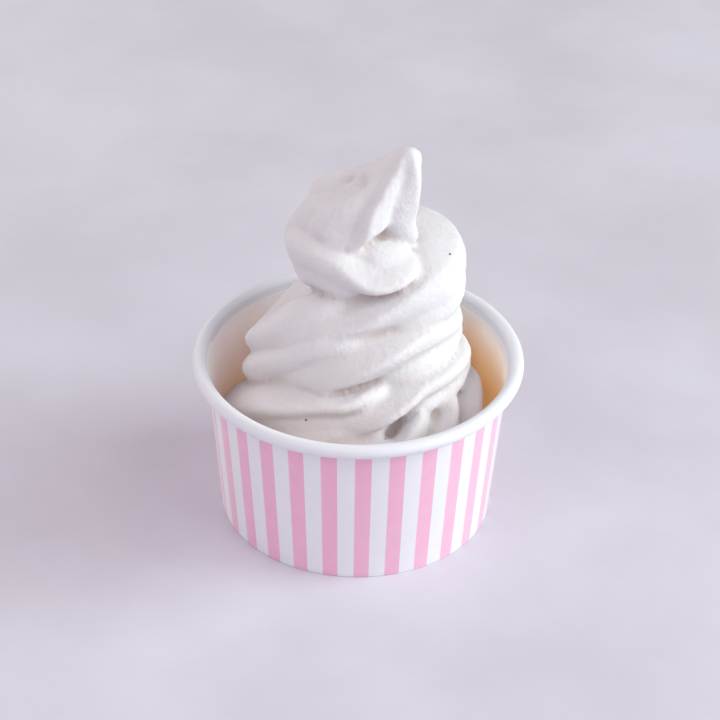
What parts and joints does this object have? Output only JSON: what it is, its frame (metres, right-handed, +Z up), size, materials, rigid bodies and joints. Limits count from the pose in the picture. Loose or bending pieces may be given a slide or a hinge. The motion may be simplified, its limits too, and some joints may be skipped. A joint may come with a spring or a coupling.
{
  "type": "ice cream cup",
  "caption": "Striped paper cup with a rolled rim, filled with soft serve ice cream laid in a twisted swirl that leans back and ends in a bent tip.",
  "frame": {"origin": "centre of the cup's foot, on the surface it stands on", "axes": "+Z up the cup to the tip of the swirl, -Y towards the side the picture shows, +X to the right of that side"},
  "size_m": [0.088, 0.088, 0.105],
  "materials": {
    "striped_paper": "white coated paper printed with pink upright stripes, the rolled rim left white",
    "white_paper": "plain white coated paper",
    "ice_cream": "matte creamy white with a fine icy grain"
  },
  "bodies": {
    "root": {"cup_wall": "striped_paper", "cup_base": "white_paper", "soft_serve": "ice_cream"}
  },
  "joints": []
}
